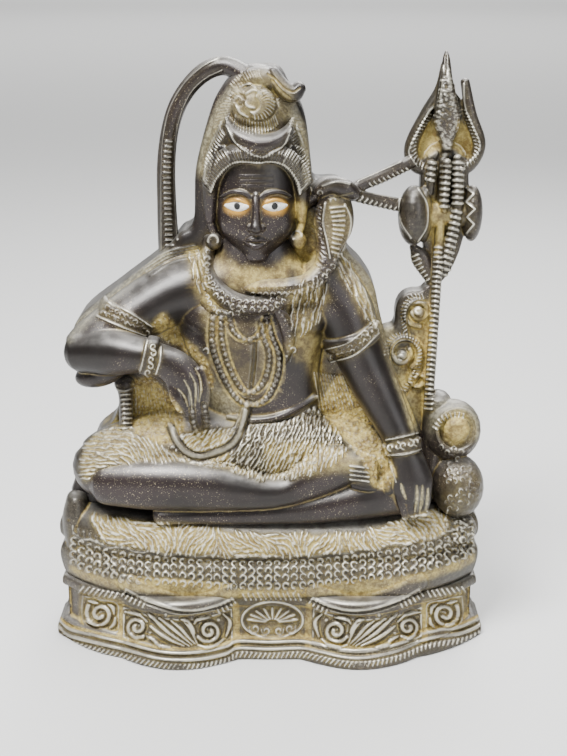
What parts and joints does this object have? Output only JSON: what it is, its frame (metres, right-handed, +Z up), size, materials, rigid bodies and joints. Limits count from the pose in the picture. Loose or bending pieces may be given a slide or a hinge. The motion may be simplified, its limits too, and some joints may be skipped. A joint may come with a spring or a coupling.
{
  "type": "seated shiva figure",
  "caption": "Seated figure of Shiva with cobra, trident and drum on a lobed plinth, a cast relief with a flat back that stands by itself.",
  "frame": {"origin": "middle of the plinth's flat underside, on the surface that the figure stands on", "axes": "+Z up, the figure looks along -Y, +X to the viewer's right as seen from the front"},
  "size_m": [0.15, 0.05, 0.2],
  "materials": {
    "cast_brass": "cast brass with a dark brown-black satin patina, gold and cream showing in the recesses, painted white and yellow eyes"
  },
  "bodies": {
    "root": {"shiva_figure": "cast_brass"}
  },
  "joints": []
}
